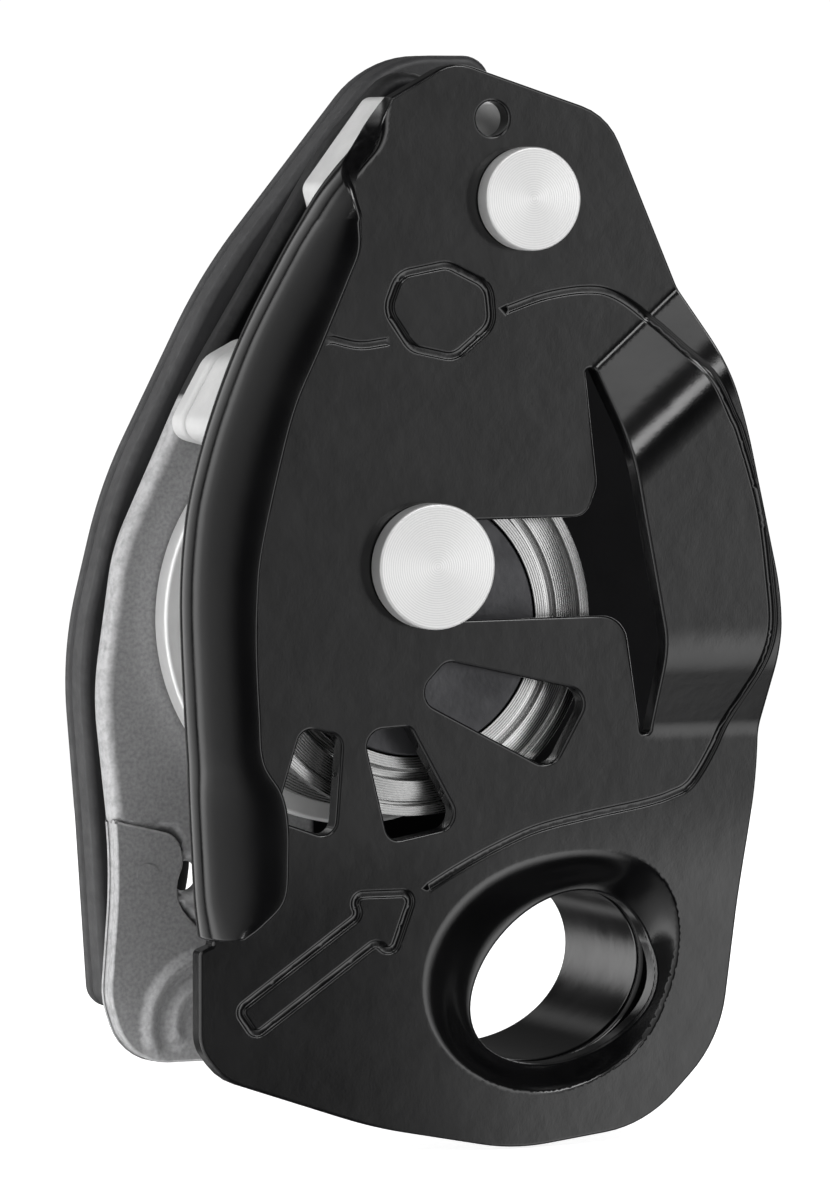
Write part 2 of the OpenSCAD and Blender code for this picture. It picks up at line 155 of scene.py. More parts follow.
def divided(line, step, closed=True):
    """The same line with no segment longer than step."""
    line = np.asarray(line, float)
    ends = np.roll(line, -1, 0) if closed else line[1:]
    out = []
    for a, b in zip(line, ends):
        n = max(1, math.ceil(np.linalg.norm(b - a) / step))
        out.extend(a + (b - a) * k / n for k in range(n))
    if not closed:
        out.append(line[-1])
    out = np.array(out)
    far = np.linalg.norm(out - np.roll(out, 1, 0), axis=1) > 1e-3
    if not closed:
        far[0] = True
    return out[far]


def ring_points(at, r, step=6):
    """A circle, with a point at every step degrees."""
    t = np.radians(np.arange(0, 360, step))
    return np.array(at) + r * np.c_[np.cos(t), np.sin(t)]


def tangents(line, closed=True):
    """Unit directions along a line, at its points."""
    if closed:
        d = np.roll(line, -1, 0) - np.roll(line, 1, 0)
    else:
        d = np.gradient(line, axis=0)
    return d / np.maximum(np.linalg.norm(d, axis=1, keepdims=True), 1e-9)


def left_of(line, closed=True):
    """Unit directions to the left of a line, which is into a loop that runs anticlockwise."""
    t = tangents(line, closed)
    return np.c_[-t[:, 1], t[:, 0]]


def area(loop):
    """Area inside a loop, positive where the loop runs anticlockwise."""
    x, z = loop.T
    return 0.5 * float(np.sum(x * np.roll(z, -1) - np.roll(x, -1) * z))


def inside(points, loop):
    """Which points lie inside a closed loop."""
    x, z = points[:, 0][:, None], points[:, 1][:, None]
    a, b = loop, np.roll(loop, -1, 0)
    hit = (a[:, 1] > z) != (b[:, 1] > z)
    with np.errstate(divide="ignore", invalid="ignore"):
        cross = (b[:, 0] - a[:, 0]) * (z - a[:, 1]) / (b[:, 1] - a[:, 1]) + a[:, 0]
    return (np.sum(hit & (x < cross), axis=1) % 2) == 1


def distance(points, line):
    """Distance from each point to the nearest vertex of a dense line."""
    out = [np.zeros(0)]
    for k in range(0, len(points), BATCH):
        out.append(np.linalg.norm(points[k:k + BATCH, None] - line[None], axis=2).min(1))
    return np.concatenate(out)


def ease(t):
    """Rises smoothly from 0 to 1 over t = 0 to 1."""
    t = np.clip(t, 0, 1)
    return t * t * (3 - 2 * t)


# -------- meshes
MERGE = 1e-7        # metres within which vertices become one


def finish_mesh(name, verts, faces, edge=None, normals=None):
    """Makes an object from points in millimetres from the cam axle. edge marks the rounded
    edges, and normals are the exact ones of a formed surface, where it has them."""
    mesh = bpy.data.meshes.new(name)
    world = (np.asarray(verts, float) + ORIGIN) * MM
    mesh.from_pydata(world.tolist(), [], faces)
    if edge is not None:
        layer = mesh.attributes.new("edge", "FLOAT", "POINT")
        layer.data.foreach_set("value", np.asarray(edge, np.float32))
    if normals is not None:
        layer = mesh.attributes.new("exact_normal", "FLOAT_VECTOR", "POINT")
        layer.data.foreach_set("vector", np.asarray(normals, np.float32).ravel())
    work = bmesh.new()
    work.from_mesh(mesh)
    bmesh.ops.remove_doubles(work, verts=work.verts, dist=MERGE)
    bmesh.ops.dissolve_degenerate(work, edges=work.edges, dist=MERGE)
    bmesh.ops.recalc_face_normals(work, faces=work.faces)
    if normals is not None:
        exact = work.verts.layers.float_vector["exact_normal"]
        for face in work.faces:
            if sum(face.normal.dot(vert[exact]) for vert in face.verts) < 0:
                face.normal_flip()
    work.to_mesh(mesh)
    work.free()
    mesh.polygons.foreach_set("use_smooth", [True] * len(mesh.polygons))
    piece = bpy.data.objects.new(name, mesh)
    if normals is not None:
        layer = mesh.attributes["exact_normal"]
        exact = np.zeros(3 * len(mesh.vertices), np.float32)
        layer.data.foreach_get("vector", exact)
        mesh.attributes.remove(layer)
        mesh.normals_split_custom_set_from_vertices(exact.reshape(-1, 3).tolist())
    else:
        even = piece.modifiers.new("even_normals", "WEIGHTED_NORMAL")
        even.mode, even.weight = "FACE_AREA", 60
    bpy.context.scene.collection.objects.link(piece)
    return piece


EDGE_ARCS = np.radians([0, 22, 45, 68, 90])
STEP = 0.04     # reach of the slopes that the normals come from


def unit(vectors):
    """The same directions, one unit long."""
    return vectors / np.maximum(np.linalg.norm(vectors, axis=1), 1e-9)[:, None]


def sheet_normals(place, line, depth):
    """Normals of a sheet's front face at the points of a line, away from its depth."""
    u, v = line[:, 0], line[:, 1]
    across = place(u + STEP, v, depth) - place(u - STEP, v, depth)
    along = place(u, v + STEP, depth) - place(u, v - STEP, depth)
    normal = unit(np.cross(across, along))
    inward = place(u, v, depth + STEP) - place(u, v, depth)
    return normal * np.where((normal * inward).sum(1) > 0, -1, 1)[:, None]


def side_normals(place, line, depth, outward):
    """Normals of a sheet's side wall at the points of a line, away from the material."""
    ahead, behind = line + outward * STEP, line - outward * STEP
    return unit(place(ahead[:, 0], ahead[:, 1], depth) - place(behind[:, 0], behind[:, 1], depth))


def quads(low, high):
    """Faces between two closed rows of vertices."""
    size = len(low)
    return [[low[k], low[(k + 1) % size], high[(k + 1) % size], high[k]] for k in range(size)]


def edge_ring(loop, edge, is_outline):
    """A rounded edge's lines from side wall to face, as (line, drop, outward, arc)."""
    loop = loop if (area(loop) > 0) == is_outline else loop[::-1]
    normal = left_of(loop)
    return [(loop + normal * (edge * (1 - math.cos(a))), edge * (1 - math.sin(a)), -normal, a)
            for a in EDGE_ARCS]


def in_material(points, borders):
    """Which points lie inside the first border and outside the others."""
    keep = inside(points, borders[0])
    for hole in borders[1:]:
        keep &= ~inside(points, hole)
    return keep


def grid_points(borders, grid, fine, creases):
    """Points of an even grid in the material, clear of the borders and creases, and only
    every third one each way where fine(x, z) is false."""
    low, high = borders[0].min(0), borders[0].max(0)
    xs = np.arange(low[0], high[0], grid)
    zs = np.arange(low[1], high[1], grid * 0.866)
    cells = np.array([(x + (grid / 2 if j % 2 else 0), z, i, j)
                      for j, z in enumerate(zs) for i, x in enumerate(xs)])
    points = cells[:, :2]
    keep = in_material(points, borders)
    if fine is not None:
        coarse = (cells[:, 2] % 3 == 0) & (cells[:, 3] % 3 == 0)
        keep &= coarse | fine(points[:, 0], points[:, 1])
    points = points[keep]
    points = points[distance(points, np.vstack(borders)) > grid * 0.5]
    if creases:
        points = points[distance(points, np.vstack([c for c, _ in creases])) > grid * 0.45]
    return points


def triangulated(points, borders, creases):
    """Flat vertices and triangles through the points, borders and (line, closed) creases,
    and each border's row of vertices."""
    verts, edges, starts = [Vector(p) for p in points], [], []
    for line, closed in [(border, True) for border in borders] + list(creases):
        first = len(verts)
        starts.append(first)
        verts.extend(Vector(p) for p in line)
        edges.extend((first + k, first + k + 1) for k in range(len(line) - 1))
        if closed:
            edges.append((first + len(line) - 1, first))
    out, _, tris, origin, _, _ = delaunay_2d_cdt(verts, edges, [], 0, 1e-6)
    flat = np.array([tuple(p) for p in out])
    home = {old: k for k, olds in enumerate(origin) for old in olds}
    tris = np.array([t for t in tris if len(t) == 3])
    tris = tris[in_material(flat[tris].mean(1), borders)]
    used = np.unique(tris)
    remap = {int(v): k for k, v in enumerate(used)}
    rows = [[remap.get(home[start + k]) for k in range(len(border))]
            for start, border in zip(starts, borders)]
    return flat[used], [[remap[int(v)] for v in t] for t in tris], rows


def plate(name, loops, place, thickness, edge, grid, fine=None, creases=()):
    """A sheet with rounded edges. loops holds the outline, then the holes, place turns
    (u, v, depth) arrays into points, and edge is the radius of the edges."""
    rings = [edge_ring(loop, edge, number == 0) for number, loop in enumerate(loops)]
    inner = [ring[-1][0] for ring in rings]
    flat, tris, borders = triangulated(grid_points(inner, grid, fine, creases), inner, creases)
    count = len(flat)
    front_depth, back_depth = np.zeros(count), np.full(count, thickness)
    points = [place(flat[:, 0], flat[:, 1], front_depth), place(flat[:, 0], flat[:, 1], back_depth)]
    normals = [sheet_normals(place, flat, front_depth), -sheet_normals(place, flat, back_depth)]
    near = [np.zeros(2 * count)]
    faces = tris + [[count + v for v in reversed(t)] for t in tris]
    total = 2 * count
    for ring, border in zip(rings, borders):
        size = len(border)
        walls = []
        for side, facing in ((0, 1), (1, -1)):
            rows = []
            for line, drop, outward, arc in ring[:-1]:
                depth = np.full(size, drop if side == 0 else thickness - drop)
                points.append(place(line[:, 0], line[:, 1], depth))
                face_normal = sheet_normals(place, line, depth) * facing
                normals.append(unit(side_normals(place, line, depth, outward) * math.cos(arc)
                                    + face_normal * math.sin(arc)))
                near.append(np.ones(size))
                rows.append(list(range(total, total + size)))
                total += size
            rows.append([v + count * side for v in border])
            for low, high in zip(rows, rows[1:]):
                faces.extend(quads(low, high))
            walls.append(rows[0])
        faces.extend(quads(*walls))
    faces = [f for f in faces if len(set(f)) == len(f)]
    return finish_mesh(name, np.vstack(points), faces, np.concatenate(near), np.vstack(normals))


def flat_place(front):
    """Places a flat sheet whose front face is at a depth."""
    def place(u, v, w):
        return np.c_[u, front + w, v]
    return place


def two_faced(front, back, thickness):
    """Places a sheet between a front(x, z) and a back(x, z) face, shaped on their own."""
    def place(u, v, w):
        f, b = front(u, v), back(u, v)
        near_front = w < thickness / 2
        return np.c_[u, np.where(near_front, f + w, b - (thickness - w)), v]
    return place


TURN_STEPS = 144    # facets round a turned piece
BEVEL_STEP = 30     # degrees between the rows of its rounded corners
ON_AXIS = 1e-6      # radius below which a point is on the axis


def lathe(name, at, profile):
    """A turned piece about an axis along Y, from (radius, depth) points. The object's own
    origin lies on that axis."""
    verts, faces, rows = [], [], []
    for r, y in profile:
        if r < ON_AXIS:
            rows.append([len(verts)] * TURN_STEPS)
            verts.append((0, y, 0))
            continue
        rows.append(list(range(len(verts), len(verts) + TURN_STEPS)))
        for k in range(TURN_STEPS):
            t = 2 * math.pi * k / TURN_STEPS
            verts.append((r * math.cos(t), y, r * math.sin(t)))
    pairs = list(zip(rows, rows[1:]))
    if profile[0][0] > ON_AXIS:
        pairs.append((rows[-1], rows[0]))
    for low, high in pairs:
        faces.extend(list(dict.fromkeys(face)) for face in quads(low, high))
    piece = finish_mesh(name, np.array(verts), faces)
    piece.data.transform(Matrix.Translation(-Vector(tuple(ORIGIN * MM))))
    home = (ORIGIN + np.array([at[0], 0, at[1]])) * MM
    piece.matrix_world = Matrix.Translation(Vector(tuple(home)))
    return piece


def bevelled(profile, radius):
    """A closed (radius, depth) profile with its corners rounded, apart from those on the axis."""
    corners = [(r, y, 0 if r < ON_AXIS else radius) for r, y in profile]
    return [tuple(p) for p in rounded(corners, True, BEVEL_STEP)]


# -------- front plate, one bent sheet
# The hem bends tightly through TIGHT_TURN, then eases on to the full half turn
TIGHT_TURN = math.radians(147)
EASY_TURN = math.pi - TIGHT_TURN
ROLL_FOOT = -37.4
# the hem's left limit and the edge of its folded flap
HEM_LIMIT = smooth_line([(-26, -38.5), (-26.7, -25), (-27.4, -14), (-27.8, -3), (-27.2, 5),
                         (-25.9, 11), (-24, 17), (-21.3, 23.5), (-17.9, 30), (-13.8, 37),
                         (-11.2, 40.5), (-7.9, 44), (-4, 48.2)], 240)
FLAP_EDGE = smooth_line([(-22.6, ROLL_FOOT), (-20.6, -36), (-18.2, -33.4), (-17.8, -29),
                         (-17.9, -25.3), (-18.6, -22.4), (-20.5, -19.2), (-20.9, -14.4),
                         (-21.2, -7.8), (-21.1, -2.4), (-20.6, 2.4), (-18.6, 11),
                         (-16.8, 17.1), (-14.2, 22.7), (-11, 29.8), (-9.8, 32.8),
                         (-9.8, 35.8)], 240)
# how much of the half turn is left where the roll opens out towards the top
OPENING_Z = (35.8, 38.8, 41, 43.5, 46, 48.2)
OPENING_TURN = (1.12, 0.86, 0.62, 0.36, 0.14, 0)


def hem_at(z):
    """Where the hem starts, its middle radius and the length of its easy bend, by height."""
    limit = np.interp(z, HEM_LIMIT[:, 1], HEM_LIMIT[:, 0])
    low = np.minimum(z, OPENING_Z[0])
    width = (np.interp(low, FLAP_EDGE[:, 1], FLAP_EDGE[:, 0])
             - np.interp(low, HEM_LIMIT[:, 1], HEM_LIMIT[:, 0])) - PLATE_T / 2
    along = EASY_TURN / math.sin(EASY_TURN)
    rise = along * (1 - math.cos(EASY_TURN)) / EASY_TURN
    radius = (HEM_RISE - rise * width) / (1 - math.cos(TIGHT_TURN)
                                          - rise * (1 - math.sin(TIGHT_TURN)))
    easy = (width - radius * (1 - math.sin(TIGHT_TURN))) * along
    return limit, radius, easy


def rolled_length(z):
    """Length of sheet past the start of the bend. It runs out towards the top."""
    _, radius, easy = hem_at(z)
    full = radius * TIGHT_TURN + easy
    opening = radius * math.pi * np.interp(z, OPENING_Z, OPENING_TURN)
    return np.where(z < OPENING_Z[0], full, np.minimum(full, opening))


def bend_line(z):
    """Where the flat sheet ends and the hem's bend starts."""
    limit, radius, _ = hem_at(z)
    turn = np.minimum(rolled_length(z) / radius, math.pi / 2)
    return limit + (radius + PLATE_T / 2) * np.sin(np.maximum(turn, 0))


# the bridge's upper fold and its ramp's length, and the same for the lower, level one
FOLD = np.array([18.4, 19.7])
FOLD_ANGLE = math.radians(40.8)
FOLD_RUN = 8
LOW_FOLD, LOW_RUN = -18, 9
DISH_DEPTH, DISH_SLOPE = 3.2, 1.5
CRISP_TURN = math.radians(-25)
EYE_A, EYE_B, EYE_TILT = 10.9, 8.3, math.radians(28)


def egg(grow, step=5):
    """The attachment eye, widest towards its upper right."""
    t = np.radians(np.arange(0, 360, step))
    u = (EYE_A + grow) * np.cos(t)
    v = (EYE_B + grow) * (1 + 0.1 * np.cos(t)) * np.sin(t)
    c, s = math.cos(EYE_TILT), math.sin(EYE_TILT)
    return EYE + np.c_[u * c - v * s, u * s + v * c]


def polar(points):
    """Direction and distance of points from the eye's centre."""
    d = points - EYE
    return np.arctan2(d[:, 1], d[:, 0]), np.linalg.norm(d, axis=1)


def radius_round(points, harmonics):
    """Distance of a loop from the eye's centre by direction, with its fast changes dropped."""
    turn, r = polar(divided(points, 0.1))
    order = np.argsort(turn)
    waves = np.fft.rfft(np.interp(AROUND, turn[order], r[order], period=2 * math.pi))
    waves[harmonics + 1:] = 0
    return np.fft.irfft(waves, len(AROUND))


AROUND = np.linspace(-math.pi, math.pi, 1440, endpoint=False)
DISH_R = radius_round(rounded([(-0.6, -46, 8), (-0.2, -36, 10), (13, -29.8, 9), (28.4, -31, 8),
                               (29, -42, 9), (25.2, -51, 9), (15, -56, 9), (3.4, -53, 8)]), 5)
EYE_R = radius_round(egg(0.05, 1), 8)
DISH = EYE + (DISH_R * np.array([np.cos(AROUND), np.sin(AROUND)])).T[::12]

BOW_AT, BOW_RUN, BOW_SLOPE, BOW_TOP, BOW_FADE = 4, 12, 0.036, -24, 14


def soft_ramp(t, start, end):
    """Rises from 0 to 1 over t = 0 to 1, with rounded ends of half-width start and end."""
    def bend(x, k):
        return np.where(x < -k, 0, np.where(x > k, x, (x + k) ** 2 / (4 * k)))
    return bend(t, start) - bend(t - 1, end)


# middle of the slits at both ends of the notch, where the flat plate and the bridge part
SLIT_Z = (-18, -15, -12, -8, -5, 8, 15, 20)
SLIT_X = (24.8, 24.5, 24.2, 23.8, 23.4, 20.6, 19.3, 18.4)


def past_fold(x, z):
    """Distance from the bridge's upper fold, down its ramp."""
    return (x - FOLD[0]) * math.sin(FOLD_ANGLE) - (z - FOLD[1]) * math.cos(FOLD_ANGLE)


def bridge_height(x, z):
    """How far the bridge stands out of the flat plate."""
    edge = np.interp(z, SLIT_Z, SLIT_X)
    up = (soft_ramp(past_fold(x, z) / FOLD_RUN, 0.06, 0.42)
          * soft_ramp((z - LOW_FOLD) / LOW_RUN, 0.12, 0.3))
    return np.where(x > edge, BRIDGE_RISE * up, 0)


def dish_depth(x, z):
    """The pressed funnel round the eye. Its fold is soft at the left and crisp at the right."""
    turn, r = polar(np.c_[x, z])
    outer = np.interp(turn, AROUND, DISH_R, period=2 * math.pi)
    inner = np.interp(turn, AROUND, EYE_R, period=2 * math.pi)
    t = np.clip((outer - r) / (outer - inner), 0, 1)
    crisp = 0.5 + 0.5 * np.cos(turn - CRISP_TURN)
    depth = np.minimum(DISH_DEPTH, DISH_SLOPE * (outer - inner))
    return depth * ((1 - crisp) * ease(t) + crisp * t)


# Pressed marks: the rope's path round the wheel, and plain signs at its two ends
ROPE_MARK = smooth_line([(0.3, -33.2), (3.6, -31.4), (8.1, -29.3), (12.7, -27.6), (18.7, -26.4),
                         (24.7, -25.4), (27.8, -24.6), (30.1, -23.4), (32.6, -19.7),
                         (34.2, -16), (36.2, -11.2), (37, -6.7), (36.7, -2.2), (35.6, 5.5),
                         (33.3, 13), (32.3, 15.2), (30.2, 19.4), (27.8, 22.1), (24.9, 25.3),
                         (21.3, 27.7), (18.1, 28.3), (13.4, 27.7), (9.2, 26.4)], 500)
SHORT_MARK = smooth_line([(-10.6, 23.4), (-7.6, 22.8), (-4.6, 23.1)], 30)
HAND_SIGN = rounded([(-4.6, 26.4, 2.2), (-3.2, 30, 2.2), (2.2, 31, 2.2), (6.8, 28.8, 2.2),
                     (7.2, 24.8, 2.2), (3, 21.4, 2.2), (-1.8, 22.4, 2.2)])
ARROW_ROUND = 0.9       # radius of the arrow's corners


def arrow(tail, tip, shaft, head, barb):
    """Outline of a plain arrow: half-widths of its shaft and barbs, and the head's length."""
    tail, tip = np.array(tail, float), np.array(tip, float)
    d = (tip - tail) / np.linalg.norm(tip - tail)
    n, neck = np.array([-d[1], d[0]]), tip - d * head
    spots = [tail - n * shaft, neck - n * shaft, neck - n * barb, tip, neck + n * barb,
             neck + n * shaft, tail + n * shaft]
    return rounded([(*spot, ARROW_ROUND) for spot in spots])


ARROW_SIGN = arrow((-20, -46.6), (-1.6, -33.8), 1.7, 6, 4.2)
# lines of vertices beside a mark, from its middle, and its depth
MARK_RIM, MARK_HALF, MARK_FLOOR, MARK_DEPTH = 0.62, 0.46, 0.26, 0.3
MARK_WALL = (MARK_HALF + MARK_FLOOR) / 2
MARKS = [(ROPE_MARK, False), (SHORT_MARK, False), (HAND_SIGN, True), (ARROW_SIGN, True)]
MARK_LINES = [(divided(line, 0.1, closed), closed) for line, closed in MARKS]
ALL_MARKS = np.vstack([line for line, _ in MARK_LINES])


def mark_depth(x, z):
    """Depth of the pressed marks."""
    d = distance(np.c_[x, z], ALL_MARKS)
    return MARK_DEPTH * (1 - ease((d - MARK_FLOOR) / (MARK_HALF - MARK_FLOOR)))


def bow(x, z):
    """The lower part of the plate is slightly bowed, towards its left and right edges."""
    far = (x - BOW_AT) / BOW_RUN
    return BOW_SLOPE * BOW_RUN * (np.sqrt(1 + far * far) - 1) * ease((BOW_TOP - z) / BOW_FADE)


def front_place(u, v, w):
    """Places the bent sheet: flat, dished and bridged to the right of the bend line, and
    rolled up from there to the left."""
    bend = bend_line(v)
    _, radius, easy = hem_at(v)
    s = np.where(v > ROLL_FOOT - 0.5, np.maximum(bend - u, 0), 0)
    tight = np.minimum(s, radius * TIGHT_TURN) / radius
    part = np.clip((s - radius * TIGHT_TURN) / easy, 0, 1)
    turn = tight + EASY_TURN * part
    left = math.pi - turn
    past = s > radius * TIGHT_TURN
    x = bend - radius * np.sin(tight) + np.where(
        past, easy / EASY_TURN * (math.sin(EASY_TURN) - np.sin(left)), 0)
    y = PLATE_T / 2 - radius * (1 - np.cos(tight)) - np.where(
        past, easy / EASY_TURN * (np.cos(left) - math.cos(EASY_TURN)), 0)
    out = w - PLATE_T / 2
    x = np.where(s > 0, x - out * np.sin(turn), u)
    formed = w + dish_depth(u, v) + bow(u, v) - bridge_height(u, v)
    y = np.where(s > 0, y + out * np.cos(turn), formed)
    marked = (s <= 0) & (w < PLATE_T / 2)
    if marked.any():
        y[marked] += mark_depth(u[marked], v[marked])
    return np.c_[x, y, v]


def free_edge(z):
    """The hem's free edge on the flat sheet."""
    return np.c_[bend_line(z) - rolled_length(z), z]


front_main = rounded([(-4, 48.2, 0), (3, 52, 5), (20.5, 46.4, 7), (33.5, 17, 60), (38.25, -4, 30),
                      (37.9, -22, 60), (34, -50.8, 14), (25.2, -59.3, 14), (10, -61.1, 25),
                      (-6, -58, 50), (-22.5, -52.4, 6), (-25.1, -49, 4), (-25.1, -39, 0.7),
                      (-23.2, -38.3, 0.35), (-24.6, ROLL_FOOT, 0.3), (-30, ROLL_FOOT, 0)], False)
roll_side = free_edge(np.linspace(ROLL_FOOT, 48.1, 220))
front_loop = divided(np.vstack([front_main, roll_side]), 0.5)
NOTCH = rounded([(-4.8, 4.5, 4.2), (18, 4.7, 2), (19.3, 8, 3), (17.9, 20, 0.4),
                 (18.9, 20.2, 0.4), (21, 11.5, 20), (24.8, -8, 20), (25.3, -18.1, 0.4),
                 (24.3, -18.1, 0.4), (22.4, -5.6, 3), (-4.8, -5.8, 4.2)])
VENTS = [rounded(c) for c in (
    [(2.2, -9.9, 1.6), (18.6, -13.6, 1.8), (14, -21.6, 2), (-1.4, -13.6, 1.8)],
    [(-7.2, -16.9, 1.8), (-2, -16.6, 1), (3.9, -27, 1.8), (-4.3, -28.5, 1.5)],
    [(-14, -16.3, 1.5), (-9.6, -17.3, 1.5), (-10.4, -28, 1.5), (-17, -25.7, 1.5)])]
leash_hole = next(m for m in frame["record"]["mounts"] if m["name"] == "leash_hole")
LEASH = np.array(leash_hole["pos_m"])[[0, 2]] / MM - ORIGIN[[0, 2]]
RIVET_HOLE_R = 3.7
front_holes = [NOTCH, *VENTS, ring_points(PIVOT, RIVET_HOLE_R),
               ring_points(LEASH, leash_hole["dims"]["r_mm"]), egg(0)]
front_loops = [front_loop] + [divided(h, 0.5) for h in front_holes]


def front_fine(x, z):
    """Where the sheet is formed, and needs its full grid: the hem, the ramps, the funnel."""
    roll = (x < bend_line(z) + 1) & (z > ROLL_FOOT - 1)
    run = past_fold(x, z)
    ramp = (x > 17) & (z > LOW_FOLD - 2) & (((run > -1.5) & (run < 12)) | (z < -6))
    return roll | ramp | (polar(np.c_[x, z])[1] < 20)


creases = []
for line, closed in MARKS:
    loop = divided(line, 0.6, closed)
    for side in (-MARK_RIM, -MARK_HALF, -MARK_WALL, -MARK_FLOOR, MARK_FLOOR, MARK_WALL,
                 MARK_HALF, MARK_RIM):
        creases.append((loop + left_of(loop, closed) * side, closed))
for side in (-0.3, 0, 0.3):
    creases.append((DISH + left_of(DISH) * side, True))
FRONT_EDGE, FRONT_GRID = 0.32, 0.36
front = plate("front_plate", front_loops, front_place, PLATE_T, FRONT_EDGE, FRONT_GRID,
              front_fine, creases)
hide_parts("front_side_plate")
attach(front, "side_plate")

# -------- rear plate and wear plate
REAR = rounded([(6, 51.9, 5), (20.5, 46, 7), (34.2, 18, 60), (38.2, -3, 30), (37.6, -22, 60),
                (32, -49.5, 13), (24, -58.6, 12), (12, -60.2, 14), (-5, -53, 20),
                (-24.6, -53, 6), (-26.9, -46, 8), (-25.8, -32, 60), (-27.8, -14, 30),
                (-25.6, 1.2, 20), (-17.5, 18.5, 60), (-2, 43.5, 30)])
WEAR = rounded([(-30, -26.2, 0), (-19, -28.9, 2.5), (-18.3, -32, 3), (-19.9, -35.5, 4),
                (-15, -40.6, 4), (-3, -41.8, 2), (-3, -60, 0), (-30, -60, 0)])
DRAIN, DRAIN_R = (-17.9, -33.4), 1.6
AXLE_HOLE_R, COLLAR_HOLE = 5.3, 2.3
PIN_PROUD = 0.03     # by which the ends of flush pins stand out of the rear plate


def clip(a, b, keep=True):
    """Loop a inside loop b, or outside it. The two loops cross each other twice."""
    a, b = divided(a, 0.3), divided(b, 0.3)
    in_b, in_a = inside(a, b) == keep, inside(b, a)
    run_a = np.roll(a, -int(np.argmax(in_b & ~np.roll(in_b, 1))), 0)[:int(in_b.sum())]
    run_b = np.roll(b, -int(np.argmax(in_a & ~np.roll(in_a, 1))), 0)[:int(in_a.sum())]
    if np.linalg.norm(run_a[-1] - run_b[0]) > np.linalg.norm(run_a[-1] - run_b[-1]):
        run_b = run_b[::-1]
    return divided(np.vstack([run_a, run_b]), 0.5)


WEAR_DENSE = divided(WEAR, 0.15)


def wear_recess(x, z):
    """The pocket in the rear plate's front face that the wear plate lies in."""
    p = np.c_[x, z]
    d = distance(p, WEAR_DENSE)
    d = np.where(inside(p, WEAR_DENSE), d, -d)
    return (WEAR_T + 0.1) * ease((d + 0.15) / 0.2)


def rear_front(x, z):
    return REAR_Y + wear_recess(x, z)


def rear_back(x, z):
    return np.full(len(x), REAR_BACK - PIN_PROUD)


REAR_T = REAR_BACK - REAR_Y
rear_loops = [divided(REAR, 0.6), ring_points(DRAIN, DRAIN_R, 12),
              ring_points(AXLE, AXLE_HOLE_R), egg(COLLAR_HOLE)]
wear_seam = WEAR[(WEAR[:, 1] > -52) & (WEAR[:, 0] > -26)]
rear = plate("rear_plate", rear_loops, two_faced(rear_front, rear_back, REAR_T), REAR_T,
             1.3, 1.2, None, [(divided(wear_seam, 0.5, False), False)])
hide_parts("rear_side_plate")
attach(rear, "frame")

# two curved ridges on the wear plate, about a point beyond its lower corner
RIDGE_AT, RIDGE_HALF, RIDGE_RISE = np.array([-15.2, -49.0]), 1.3, 0.95
RIDGE_RADII = (4.4, 7.2)
WEAR_INSET = 0.08


def wear_front(x, z):
    d = np.c_[x, z] - RIDGE_AT
    r, a = np.linalg.norm(d, axis=1), np.degrees(np.arctan2(d[:, 1], d[:, 0])) % 360
    ends = ease((a - 70) / 20) * ease((215 - a) / 25)
    rise = sum(ease(1 - np.abs(r - middle) / RIDGE_HALF) for middle in RIDGE_RADII)
    return REAR_Y - RIDGE_RISE * rise * ends


def wear_back(x, z):
    return np.full(len(x), REAR_Y + WEAR_T)


wear_loop = clip(REAR, WEAR)
wear_loop = wear_loop + left_of(wear_loop) * math.copysign(WEAR_INSET, area(wear_loop))
wear = plate("wear_plate_skin", [wear_loop], two_faced(wear_front, wear_back, WEAR_T), WEAR_T,
             0.3, 0.5)
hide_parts("wear_plate")
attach(wear, "frame")

# -------- turned pieces
turned = {}


def turned_piece(name, node, at, profile, radius, body):
    """A turned piece in place of a CAD node. radius rounds the profile's corners."""
    piece = lathe(name, at, bevelled(profile, radius))
    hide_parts(node)
    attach(piece, body)
    turned[name] = piece


HEAD_FRONT, axle_back = span("cam_axle")[0][1], span("cam_axle")[1][1]
HEAD_BACK = HEAD_FRONT + 2.45
HEAD_R = radius_of("cam_axle")
AXLE_R, AXLE_END_R, AXLE_STEP = 4, 2.6, 27.55
turned_piece("axle_body", "cam_axle", AXLE,
             [(0, HEAD_FRONT), (HEAD_R, HEAD_FRONT), (HEAD_R, HEAD_BACK), (AXLE_R, HEAD_BACK),
              (AXLE_R, AXLE_STEP), (AXLE_END_R, AXLE_STEP + 0.05), (AXLE_END_R, axle_back),
              (0, axle_back)],
             0.3, "cam")
rivet_back = span("pivot_rivet")[1][1]
RIVET_HEAD_R = radius_of("pivot_rivet")
RIVET_R, TAIL_R, TAIL_END_R = 3.5, 5, 4.6
turned_piece("rivet_body", "pivot_rivet", PIVOT,
             [(0, HEAD_FRONT), (RIVET_HEAD_R, HEAD_FRONT), (RIVET_HEAD_R, HEAD_BACK),
              (RIVET_R, HEAD_BACK), (RIVET_R, REAR_BACK), (TAIL_R, REAR_BACK),
              (TAIL_END_R, rivet_back), (0, rivet_back)],
             0.25, "frame")
WHEEL_FRONT, WHEEL_BACK = span("wheel_rim")[0][1], span("wheel_rim")[1][1]
RIM = radius_of("wheel_rim")
RIM_T = 1.6
GROOVE_R, GROOVE_FRONT, GROOVE_BACK = 17.6, 7.6, 13.7
SEAT_R, SEAT_FRONT, SEAT_BACK = 14.25, 5.85, 14.05
